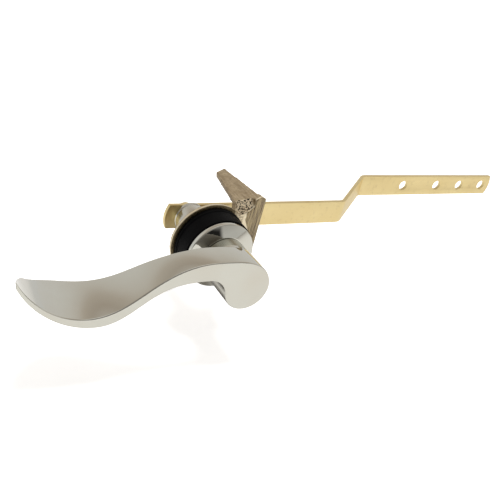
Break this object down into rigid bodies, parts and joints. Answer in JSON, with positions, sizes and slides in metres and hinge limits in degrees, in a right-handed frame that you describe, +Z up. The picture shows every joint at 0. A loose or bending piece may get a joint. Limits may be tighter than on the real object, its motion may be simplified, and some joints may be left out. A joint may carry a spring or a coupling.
{
  "type": "cistern lever",
  "caption": "Front-mount cistern lever: wave-shaped polished handle, collar bushing with gasket and finned lock nut, and a joggled brass arm with chain holes.",
  "frame": {"origin": "on the spindle's axis, in the plane of the collar's back face, where the gasket seats", "axes": "+X along the arm, +Y into the tank along the spindle, +Z up"},
  "size_m": [0.3354, 0.0937, 0.0395],
  "materials": {
    "nickel": "polished nickel plate",
    "rubber": "matte",
    "cast_brass": "as cast, rough",
    "strip_brass": "rolled strip",
    "steel": "plain steel"
  },
  "bodies": {
    "tank_fitting": {"bushing": "nickel", "gasket": "rubber", "lock_nut": "cast_brass"},
    "lever": {"handle": "nickel", "set_screw": "steel", "spindle": "nickel", "arm": "strip_brass", "arm_washer": "steel", "arm_screw": "strip_brass"}
  },
  "joints": [
    {"name": "lever_pivot", "type": "hinge", "parent": "tank_fitting", "child": "lever", "pos_m": [0, 0, 0], "axis": [0, -1, 0], "range_deg": [0, 23.5]}
  ]
}
